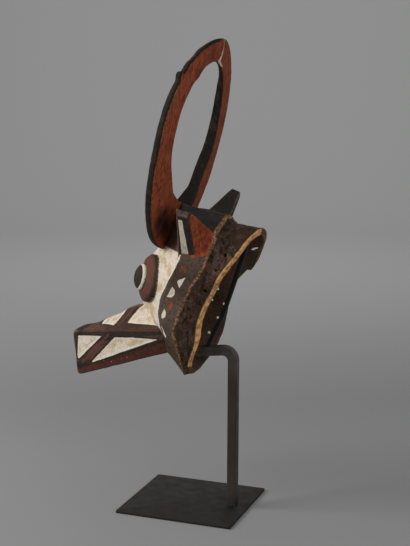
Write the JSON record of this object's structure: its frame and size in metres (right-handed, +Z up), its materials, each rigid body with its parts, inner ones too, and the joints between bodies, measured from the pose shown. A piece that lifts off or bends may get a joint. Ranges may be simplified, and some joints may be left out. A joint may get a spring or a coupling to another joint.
{
  "type": "carved buffalo mask on display stand",
  "caption": "Carved and painted buffalo mask with ringed flat horns, stepped eyes and a boxy muzzle, held on a bent steel bar with a square base plate.",
  "frame": {"origin": "middle of the base plate's underside, on the surface it stands on", "axes": "+Z up, -Y the way the mask looks, +X the mask's left side"},
  "size_m": [0.3762, 0.4187, 1.0056],
  "materials": {
    "painted_wood": "hand-painted earth pigments in red-brown, black and white on carved wood, matte and worn",
    "stand_steel": "dark brown-black satin paint, slightly worn"
  },
  "bodies": {
    "root": {"mask": "painted_wood", "stand_base_plate": "stand_steel", "stand_bent_bar": "stand_steel", "stand_inner_brace": "stand_steel"}
  },
  "joints": []
}
